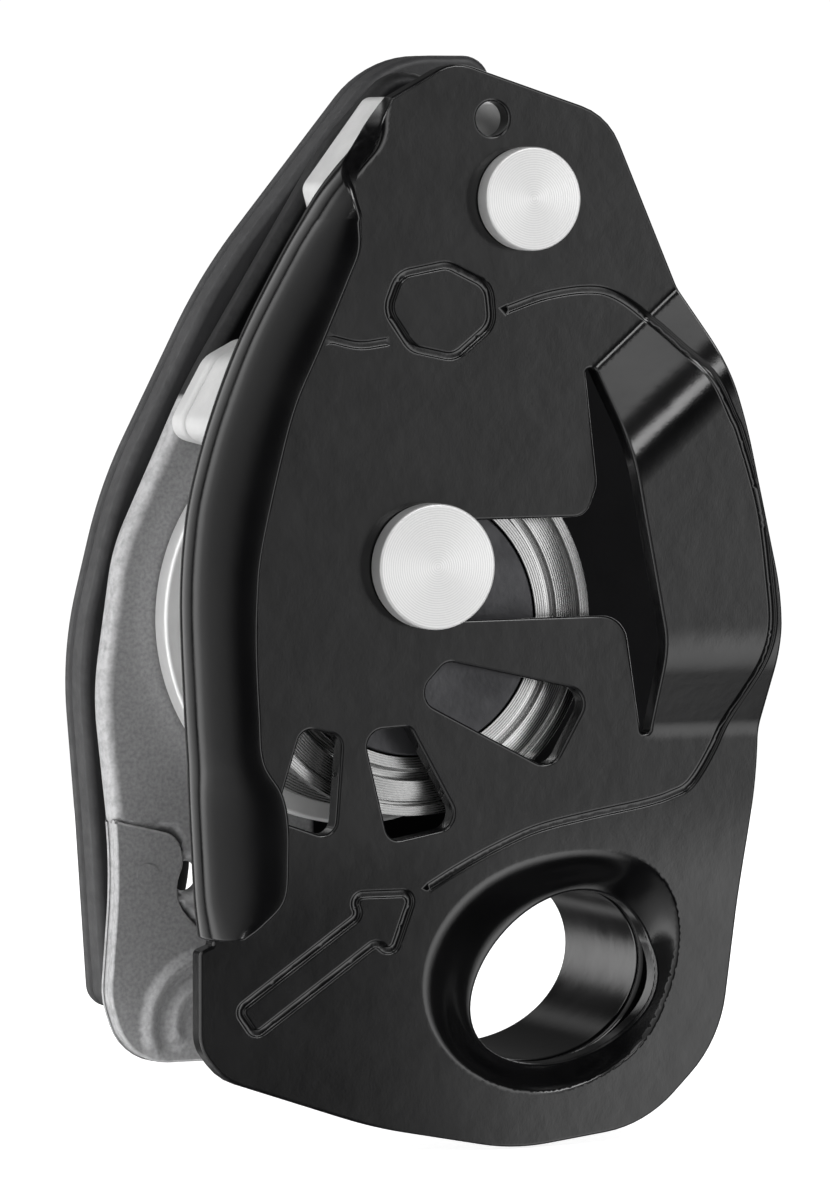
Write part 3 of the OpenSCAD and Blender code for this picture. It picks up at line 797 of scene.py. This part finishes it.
turned_piece("wheel_body", "wheel_rim", WHEEL,
             [(13.85, WHEEL_FRONT), (15.1, WHEEL_FRONT), (15.4, WHEEL_FRONT + 0.8),
              (16.1, WHEEL_FRONT + 0.8), (16.3, WHEEL_FRONT + 0.1), (18.5, WHEEL_FRONT + 0.5),
              (18.6, WHEEL_FRONT + 0.8), (18.85, WHEEL_FRONT + 0.8),
              (18.95, WHEEL_FRONT), (RIM, WHEEL_FRONT),
              (RIM, WHEEL_FRONT + RIM_T), (GROOVE_R, GROOVE_FRONT), (GROOVE_R, GROOVE_BACK),
              (RIM, WHEEL_BACK - RIM_T), (RIM, WHEEL_BACK), (13.2, WHEEL_BACK),
              (13.2, SEAT_BACK), (SEAT_R, SEAT_BACK), (SEAT_R, SEAT_FRONT),
              (13.85, SEAT_FRONT)],
             0.08, "wheel")
COVER_FRONT, COVER_BACK = span("hub_cover")[0][1], span("hub_cover")[1][1]
COVER_R = radius_of("hub_cover")
turned_piece("cover_body", "hub_cover", WHEEL,
             [(0, COVER_FRONT), (COVER_R, COVER_FRONT), (COVER_R, COVER_BACK), (0, COVER_BACK)],
             0.25, "cam")

# -------- cam, shoe, collar, grip
DISC_FRONT, DISC_BACK, DISC_R = 18.0, span("cam_plate")[1][1], 22
NOSE_FRONT = span("cam_plate")[0][1]
NOSE = rounded([(-21.2, 13.1, 2), (-16.6, 21.2, 3), (-12.2, 23.5, 2), (-5, 16, 3),
                (-4, 7, 1), (-14, 11.2, 2)])


def slab(name, loops, front, back, edge, grid):
    """A flat piece between two depths."""
    return plate(name, [divided(p, 0.6) for p in loops],
                 flat_place(front), back - front, edge, grid)


disc = lathe("cam_disc", WHEEL, bevelled([(0, DISC_FRONT), (DISC_R, DISC_FRONT),
                                          (DISC_R, DISC_BACK), (0, DISC_BACK)], 0.5))
nose_front_loop = clip(NOSE, ring_points(WHEEL, RIM + 0.6), keep=False)
nose = slab("cam_nose", [nose_front_loop], NOSE_FRONT, DISC_FRONT + 0.1, 1.6, 0.8)
nose_root = slab("cam_nose_root", [NOSE], DISC_FRONT, DISC_BACK, 0.8, 1.0)
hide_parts("cam_plate")
for piece in (disc, nose, nose_root):
    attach(piece, "cam")

SHOE = rounded([(1.8, 48.3, 1.2), (-5.4, 38.9, 1.5), (-3.9, 33.6, 1.5), (4, 30, 3),
                (16.5, 31, 4), (19, 41, 4), (12.5, 48.3, 3)])
SHOE_FRONT, SHOE_BACK = span("friction_shoe")[0][1], span("friction_shoe")[1][1]
shoe = slab("shoe_block", [SHOE], SHOE_FRONT, SHOE_BACK, 0.9, 1.0)
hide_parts("friction_shoe")
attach(shoe, "frame")


def egg_tube(name, profile):
    """A tube along the eye, from a closed profile of (grow, depth) points."""
    rows = [egg(grow, 4) for grow, _ in profile]
    count = len(rows[0])
    verts = np.vstack([np.c_[row[:, 0], np.full(count, y), row[:, 1]]
                       for row, (_, y) in zip(rows, profile)])
    belts = np.arange(len(verts)).reshape(-1, count).tolist()
    faces = [face for low, high in zip(belts, belts[1:] + belts[:1]) for face in quads(low, high)]
    return finish_mesh(name, verts, faces)


COLLAR_FRONT, COLLAR_BACK = span("eye_collar")[0][1], span("eye_collar")[1][1]
WALL, FLANGE = 2.2, 3.8
collar_profile = rounded([(0, COLLAR_FRONT, 0.8), (WALL, COLLAR_FRONT, 0.5),
                          (WALL, REAR_BACK, 0.1), (FLANGE, REAR_BACK, 0.1),
                          (FLANGE, COLLAR_BACK, 0.25), (0, COLLAR_BACK, 0.6)], True, 20)
collar = egg_tube("eye_tube", [tuple(p) for p in collar_profile])
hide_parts("eye_collar")
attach(collar, "frame")

GRIP_FRONT, GRIP_BACK = span("handle_grip")[0][1], span("handle_grip")[1][1]
BOSS_FRONT = span("lever_arm")[1][1] + 0.15
GRIP = rounded([(19, 52.8, 3), (6.5, 52.8, 12), (-12.6, 29.6, 60), (-24, 7.5, 50),
                (-28.4, -10, 40), (-26.9, -28, 60), (-25.6, -47.6, 2.4), (-19.4, -48, 2.4),
                (-15.5, -33, 20), (-16.6, -12, 30), (-12, 6, 60), (-1.5, 23, 60),
                (19, 47, 2)])
grip_back = slab("grip_back", [GRIP], BOSS_FRONT, GRIP_BACK, 1.2, 1.2)
grip_front_piece = slab("grip_front", [clip(GRIP, ring_points(HINGE, 5.5), keep=False)],
                        GRIP_FRONT, BOSS_FRONT + 0.5, 0.9, 1.2)
boss = slab("grip_boss", [ring_points(HINGE, 6.4)], BOSS_FRONT, GRIP_BACK, 1.0, 1.2)
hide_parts("handle_grip")
for piece in (grip_back, grip_front_piece, boss):
    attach(piece, "handle")


# -------- materials
def shader(name):
    """A new material, its node tree and its shader."""
    mat = bpy.data.materials.new(name)
    mat.use_nodes = True
    return mat, mat.node_tree, mat.node_tree.nodes["Principled BSDF"]


def node(tree, kind, **inputs):
    """A new node with its inputs set by name, with underscores for spaces."""
    made = tree.nodes.new(kind)
    for key, value in inputs.items():
        made.inputs[key.replace("_", " ")].default_value = value
    return made


def mapped(tree, source, low, high, out_low, out_high):
    """Spreads a value from low..high to out_low..out_high."""
    made = node(tree, "ShaderNodeMapRange", From_Min=low, From_Max=high, To_Min=out_low,
                To_Max=out_high)
    tree.links.new(source, made.inputs["Value"])
    return made.outputs["Result"]


def arithmetic(tree, kind, *values):
    """The output of a Math node fed with numbers or other outputs."""
    made = tree.nodes.new("ShaderNodeMath")
    made.operation = kind
    for socket, value in zip(made.inputs, values):
        if isinstance(value, (int, float)):
            socket.default_value = value
        else:
            tree.links.new(value, socket)
    return made.outputs[0]


def noise(tree, scale, detail):
    """Noise in the object's own coordinates."""
    coord = tree.nodes.new("ShaderNodeTexCoord").outputs["Object"]
    made = node(tree, "ShaderNodeTexNoise", Scale=scale, Detail=detail)
    tree.links.new(coord, made.inputs["Vector"])
    return made.outputs["Fac"]


def tinted(tree, bsdf, value, dark, light):
    """Colours a shader from dark to light by a value."""
    ramp = tree.nodes.new("ShaderNodeValToRGB")
    ramp.color_ramp.elements[0].color = (*dark, 1)
    ramp.color_ramp.elements[1].color = (*light, 1)
    tree.links.new(value, ramp.inputs["Fac"])
    tree.links.new(ramp.outputs["Color"], bsdf.inputs["Base Color"])
    return ramp


def bumped(tree, bsdf, *layers):
    """Adds bump from (value, height in metres) layers."""
    last = None
    for value, height in layers:
        made = node(tree, "ShaderNodeBump", Distance=height, Strength=1.0)
        tree.links.new(value, made.inputs["Height"])
        if last:
            tree.links.new(last, made.inputs["Normal"])
        last = made.outputs["Normal"]
    tree.links.new(last, bsdf.inputs["Normal"])


def painted_edge_highlight(tree, value, amount):
    """The value plus a painted highlight on the rounded edges, of the given amount, broken up by
    noise.
    """
    # painted highlight: the rounded edges are coloured lighter than the faces
    attr = tree.nodes.new("ShaderNodeAttribute")
    attr.attribute_name = "edge"
    patch = mapped(tree, noise(tree, 900, 4), 0.35, 0.65, 0.3, 1)
    lit_edges = arithmetic(tree, "MULTIPLY", attr.outputs["Fac"], patch)
    return arithmetic(tree, "MULTIPLY_ADD", lit_edges, amount, value)


def make_black():
    """Satin black anodising, with a painted highlight on its rounded edges."""
    mat, tree, bsdf = shader("black_anodised")
    cloud = mapped(tree, noise(tree, 60, 5), 0.3, 0.7, 0, 0.4)
    # painted highlight: the rounded edges are coloured lighter
    tinted(tree, bsdf, painted_edge_highlight(tree, cloud, 0.6), (0.0006, 0.0006, 0.0007), (0.008, 0.008, 0.0085))
    tree.links.new(mapped(tree, noise(tree, 150, 6), 0.3, 0.7, 0.12, 0.18),
                   bsdf.inputs["Roughness"])
    bsdf.inputs["Specular IOR Level"].default_value = 0.6
    bumped(tree, bsdf, (noise(tree, 5200, 2), 0.000003), (noise(tree, 420, 3), 0.000017))
    return mat


# limits of the rear plate's black part above a height, and of the painted shade on its front face to
# the right of the wear plate, in millimetres from the axle
BLACK_ABOVE, SHADE_FROM, SHADE_DOWN_TO = 17, -4, -38
SHARP, DEEP_SHARP = 0.0003, 0.0002      # half-widths of the colour's borders, in metres


def black_and_shade_mask(tree):
    """Where the rear plate is black: its front face and rim, above a height, and to the right of the
    wear plate, where the black is painted shade between the plates. The rims keep a touch of the
    plate's own colour, a painted highlight."""
    spot = tree.nodes.new("ShaderNodeSeparateXYZ")
    tree.links.new(tree.nodes.new("ShaderNodeTexCoord").outputs["Object"], spot.inputs[0])
    high, right, deep = (place * MM for place in (ORIGIN[2] + BLACK_ABOVE, ORIGIN[0] + SHADE_FROM,
                                                  REAR_BACK - 0.6))
    low = (ORIGIN[2] + SHADE_DOWN_TO) * MM
    above = mapped(tree, spot.outputs["Z"], high - SHARP, high + SHARP, 0, 1)
    beside = mapped(tree, spot.outputs["X"], right - SHARP, right + SHARP, 0, 1)
    over = mapped(tree, spot.outputs["Z"], low - SHARP, low + SHARP, 0, 1)
    front_side = mapped(tree, spot.outputs["Y"], deep - DEEP_SHARP, deep + DEEP_SHARP, 1, 0)
    # painted highlight: the black is eased off on the rounded rims, which come out a little lighter
    rim = tree.nodes.new("ShaderNodeAttribute")
    rim.attribute_name = "edge"
    inner = mapped(tree, rim.outputs["Fac"], 0, 1, 1, 0.95)
    beside = arithmetic(tree, "MULTIPLY", beside, over)
    mask = arithmetic(tree, "MULTIPLY", arithmetic(tree, "MAXIMUM", above, beside), front_side)
    return arithmetic(tree, "MULTIPLY", mask, inner)


def make_blasted(black_and_painted_shade):
    """Bead-blasted metal, with a painted highlight on its rounded edges. The rear plate is black
    inside, apart from where the rope runs; to the right of the wear plate that black is painted
    shade between the plates.
    """
    mat, tree, bsdf = shader("blasted_two_tone" if black_and_painted_shade else "grey_blasted")
    speck = mapped(tree, noise(tree, 2600, 2), 0.3, 0.7, 0.25, 0.6)
    # painted highlight: the rounded edges are coloured lighter
    ramp = tinted(tree, bsdf, painted_edge_highlight(tree, speck, 0.6), (0.22, 0.22, 0.225), (0.56, 0.56, 0.565))
    bsdf.inputs["Metallic"].default_value = 0.5
    tree.links.new(mapped(tree, noise(tree, 300, 4), 0.3, 0.7, 0.44, 0.54),
                   bsdf.inputs["Roughness"])
    bumped(tree, bsdf, (noise(tree, 2600, 2), 0.000012))
    if black_and_painted_shade:
        # painted shade: the inner face goes black to the right of the wear plate, with weaker
        # reflections
        mask = black_and_shade_mask(tree)
        tree.links.new(mapped(tree, mask, 0, 1, 0.5, 0.08), bsdf.inputs["Specular IOR Level"])
        mix = tree.nodes.new("ShaderNodeMix")
        mix.data_type = "RGBA"
        tree.links.new(mask, mix.inputs["Factor"])
        tree.links.new(ramp.outputs["Color"], mix.inputs[6])
        mix.inputs[7].default_value = (0.006, 0.006, 0.0065, 1)
        tree.links.new(mix.outputs[2], bsdf.inputs["Base Color"])
    return mat


def make_turned(name, low, high, rough, metallic=1.0):
    """Turned metal. Its fine rings run round the object's own Y axis."""
    mat, tree, bsdf = shader(name)
    coord = tree.nodes.new("ShaderNodeTexCoord").outputs["Object"]
    rings = node(tree, "ShaderNodeTexWave", Scale=1250, Distortion=0.4, Detail=3.0,
                 Detail_Scale=2.0)
    rings.wave_type, rings.rings_direction = "RINGS", "Y"
    tree.links.new(coord, rings.inputs["Vector"])
    tinted(tree, bsdf, rings.outputs["Fac"], low, high)
    bsdf.inputs["Metallic"].default_value = metallic
    tree.links.new(mapped(tree, rings.outputs["Fac"], 0, 1, rough, rough + 0.1),
                   bsdf.inputs["Roughness"])
    bsdf.inputs["Anisotropic"].default_value = 0.6
    around = tree.nodes.new("ShaderNodeTangent")
    around.direction_type, around.axis = "RADIAL", "Y"
    tree.links.new(around.outputs["Tangent"], bsdf.inputs["Tangent"])
    bumped(tree, bsdf, (rings.outputs["Fac"], 0.000004), (noise(tree, 3000, 2), 0.000006))
    return mat


def make_satin(name, low, high, rough, metallic=1.0):
    """Metal without a grain, in a soft cloud of tones."""
    mat, tree, bsdf = shader(name)
    cloud = mapped(tree, noise(tree, 220, 5), 0.3, 0.7, 0.1, 0.9)
    tinted(tree, bsdf, cloud, low, high)
    bsdf.inputs["Metallic"].default_value = metallic
    tree.links.new(mapped(tree, noise(tree, 500, 4), 0.3, 0.7, rough, rough + 0.14),
                   bsdf.inputs["Roughness"])
    bumped(tree, bsdf, (noise(tree, 1800, 3), 0.00002))
    return mat


def make_plastic():
    """Moulded plastic, a little lighter and rougher than the black plates, with a painted highlight
    on its rounded edges.
    """
    mat, tree, bsdf = shader("grip_plastic")
    cloud = mapped(tree, noise(tree, 90, 5), 0.3, 0.7, 0, 0.5)
    # painted highlight: the rounded edges are coloured lighter
    tinted(tree, bsdf, painted_edge_highlight(tree, cloud, 0.5), (0.015, 0.015, 0.016), (0.045, 0.045, 0.047))
    tree.links.new(mapped(tree, noise(tree, 700, 4), 0.3, 0.7, 0.42, 0.58),
                   bsdf.inputs["Roughness"])
    bumped(tree, bsdf, (noise(tree, 2400, 2), 0.00003))
    return mat


materials = {
    "black_anodised": make_black(),
    "grey_anodised": make_blasted(False),
    # the rear plate: black above a height, and painted shade black on its inner face to the right of
    # the wear plate
    "black_and_painted_shade": make_blasted(True),
    "turned_steel": make_turned("turned_steel", (0.46, 0.46, 0.46), (0.6, 0.6, 0.595), 0.22),
    "turned_head": make_turned("turned_head", (0.66, 0.66, 0.66), (0.8, 0.8, 0.795), 0.36, 0.5),
    "cast_steel": make_satin("cast_steel", (0.62, 0.62, 0.62), (0.76, 0.76, 0.755), 0.42, 0.4),
    # a lighter copy of the cast steel for the cam's disc: painted light, as the disc lies in the
    # shade of the hem and the front plate
    "disc_steel_painted_light": make_satin("disc_steel_painted_light", (0.8, 0.8, 0.8), (0.93, 0.93, 0.925), 0.3, 0.5),
    "dark_metal": make_satin("dark_metal", (0.035, 0.035, 0.038), (0.09, 0.09, 0.095), 0.3, 0.6),
    "bright_steel": make_satin("bright_steel", (0.6, 0.6, 0.6), (0.8, 0.8, 0.795), 0.2),
    "bronze": make_satin("bronze", (0.4, 0.27, 0.12), (0.6, 0.44, 0.22), 0.3),
    "grip_plastic": make_plastic(),
}


def paint(piece, mat):
    piece.data.materials.clear()
    piece.data.materials.append(mat)


slot_of = {part["node"]: part["material_slot"] for part in frame["record"]["subparts"]}
for name, piece in nodes.items():
    paint(piece, materials[slot_of[name]])
for name in ("wear_rivet_upper", "wear_rivet_lower"):
    paint(nodes[name], materials["grey_anodised"])
for piece, slot in ((front, "black_anodised"), (collar, "black_anodised"),
                    (rear, "black_and_painted_shade"), (wear, "grey_anodised"), (disc, "disc_steel_painted_light"),
                    (nose, "cast_steel"), (nose_root, "cast_steel"), (shoe, "cast_steel"),
                    (grip_back, "grip_plastic"), (grip_front_piece, "grip_plastic"),
                    (boss, "grip_plastic"), (turned["axle_body"], "turned_head"),
                    (turned["rivet_body"], "turned_head"),
                    (turned["wheel_body"], "turned_steel"),
                    (turned["cover_body"], "dark_metal")):
    paint(piece, materials[slot])

# -------- camera, floor and light
AIM = Vector((-0.018, 0, 0.0405))
AZIMUTH, ELEVATION, DISTANCE = math.radians(-23.5), math.radians(3.4), 0.7958
away = Vector((math.sin(AZIMUTH) * math.cos(ELEVATION), -math.cos(AZIMUTH) * math.cos(ELEVATION),
               math.sin(ELEVATION)))
lens = bpy.data.cameras.new("camera")
lens.lens, lens.sensor_width = 231.75, 36
lens.clip_start, lens.clip_end = 0.05, 20
camera = bpy.data.objects.new("camera", lens)
bpy.context.scene.collection.objects.link(camera)
camera.location = AIM + away * DISTANCE
camera.rotation_mode = "QUATERNION"
camera.rotation_quaternion = away.to_track_quat("Z", "Y")
bpy.context.scene.camera = camera

FLOOR_GAP, FLOOR_R = 0.00005, 0.42
floor_mesh = bpy.data.meshes.new("floor")
work = bmesh.new()
bmesh.ops.create_circle(work, cap_ends=True, segments=96, radius=FLOOR_R)
work.to_mesh(floor_mesh)
work.free()
floor = bpy.data.objects.new("floor", floor_mesh)
floor.location = (AIM.x, 0, cad_box[0][2] - FLOOR_GAP)
bpy.context.scene.collection.objects.link(floor)
mat, tree, bsdf = shader("floor_paper")
tinted(tree, bsdf, noise(tree, 3, 2), (0.9, 0.9, 0.9), (0.93, 0.93, 0.93))
bsdf.inputs["Roughness"].default_value = 0.9
bsdf.inputs["Emission Color"].default_value = (1, 1, 1, 1)
bsdf.inputs["Emission Strength"].default_value = 0.85
floor.data.materials.append(mat)
floor.visible_glossy = False
floor.visible_shadow = False


def softbox(name, azimuth, elevation, reach, width, height, power):
    """A softbox aimed at the object, by the direction that it stands in."""
    light = bpy.data.lights.new(name, "AREA")
    light.shape, light.size, light.size_y = "RECTANGLE", width, height
    light.energy = power
    lamp = bpy.data.objects.new(name, light)
    a, e = math.radians(azimuth), math.radians(elevation)
    back = Vector((math.sin(a) * math.cos(e), -math.cos(a) * math.cos(e), math.sin(e)))
    lamp.location = AIM + back * reach
    lamp.rotation_mode = "QUATERNION"
    lamp.rotation_quaternion = back.to_track_quat("Z", "Y")
    bpy.context.scene.collection.objects.link(lamp)


softbox("top_box", -25, 52, 0.9, 0.4, 0.2, 0.45)
softbox("bend_light", 0, 27, 0.9, 0.25, 0.12, 0.6)
softbox("front_box", 27, 48, 0.9, 0.4, 0.25, 2)

# The studio: brightness by azimuth in degrees round the object, and by height
STUDIO = [(-180, 0.3), (-172, 0.05), (-160, 0.05), (-154, 1.9), (-118, 0.9), (-110, 0.5),
          (-106, 0.02), (-101, 0.02), (-95, 2.8), (-86, 2.6), (-70, 1.1), (-50, 0.75), (-36, 0.55),
          (-22, 0.38), (-10, 0.1), (-4, 0.01), (8, 0.01), (14, 0.04), (18, 0.14), (21, 0.4),
          (25, 0.6), (31, 2.2), (40, 2.2), (47, 1), (58, 0.02), (124, 0.02), (132, 1.6),
          (144, 1.6), (152, 0.05), (172, 0.05), (180, 0.3)]
HEIGHTS = [(-90, 0.02), (-66, 0.1), (-56, 0.55), (-36, 0.9), (-22, 1.2), (-8, 1.0), (35, 1.0),
           (55, 0.3), (65, 0.05), (90, 0.05)]
TOP_VALUE = 4       # a ramp's colours stop at 1, so they hold the brightness divided by this
world = bpy.data.worlds.new("studio")
bpy.context.scene.world = world
world.use_nodes = True
wt = world.node_tree


def studio_ramp(stops, low, high, source):
    """Brightness by an angle that a source spreads from 0 to 1 over low to high."""
    ramp = wt.nodes.new("ShaderNodeValToRGB")
    elements = ramp.color_ramp.elements
    elements.remove(elements[-1])
    for k, (at, value) in enumerate(stops):
        element = elements[0] if k == 0 else elements.new((at - low) / (high - low))
        element.color = (*[value / TOP_VALUE] * 3, 1)
    wt.links.new(source, ramp.inputs["Fac"])
    return ramp.outputs["Color"]


direction = wt.nodes.new("ShaderNodeTexCoord").outputs["Generated"]
parts = wt.nodes.new("ShaderNodeSeparateXYZ")
wt.links.new(direction, parts.inputs[0])
forward = arithmetic(wt, "MULTIPLY", parts.outputs["Y"], -1.0)
around = arithmetic(wt, "ARCTAN2", parts.outputs["X"], forward)
around = arithmetic(wt, "MULTIPLY_ADD", around, 1 / (2 * math.pi), 0.5)
height = arithmetic(wt, "ARCSINE", parts.outputs["Z"])
height = arithmetic(wt, "MULTIPLY_ADD", height, 1 / math.pi, 0.5)
sides = studio_ramp(STUDIO, -180, 180, around)
levels = studio_ramp(HEIGHTS, -90, 90, height)
strength = arithmetic(wt, "MULTIPLY", arithmetic(wt, "MULTIPLY", sides, levels),
                      float(TOP_VALUE ** 2))
# the camera sees plain white round the floor, and the object the studio
dark = wt.nodes["Background"]
dark.inputs["Color"].default_value = (1, 1, 1, 1)
wt.links.new(strength, dark.inputs["Strength"])
white = wt.nodes.new("ShaderNodeBackground")
white.inputs["Color"].default_value = (1, 1, 1, 1)
white.inputs["Strength"].default_value = 1.05
choose = wt.nodes.new("ShaderNodeMixShader")
wt.links.new(wt.nodes.new("ShaderNodeLightPath").outputs["Is Camera Ray"], choose.inputs["Fac"])
wt.links.new(dark.outputs[0], choose.inputs[1])
wt.links.new(white.outputs[0], choose.inputs[2])
wt.links.new(choose.outputs[0], wt.nodes["World Output"].inputs["Surface"])
bpy.context.scene.view_settings.view_transform = "Standard"
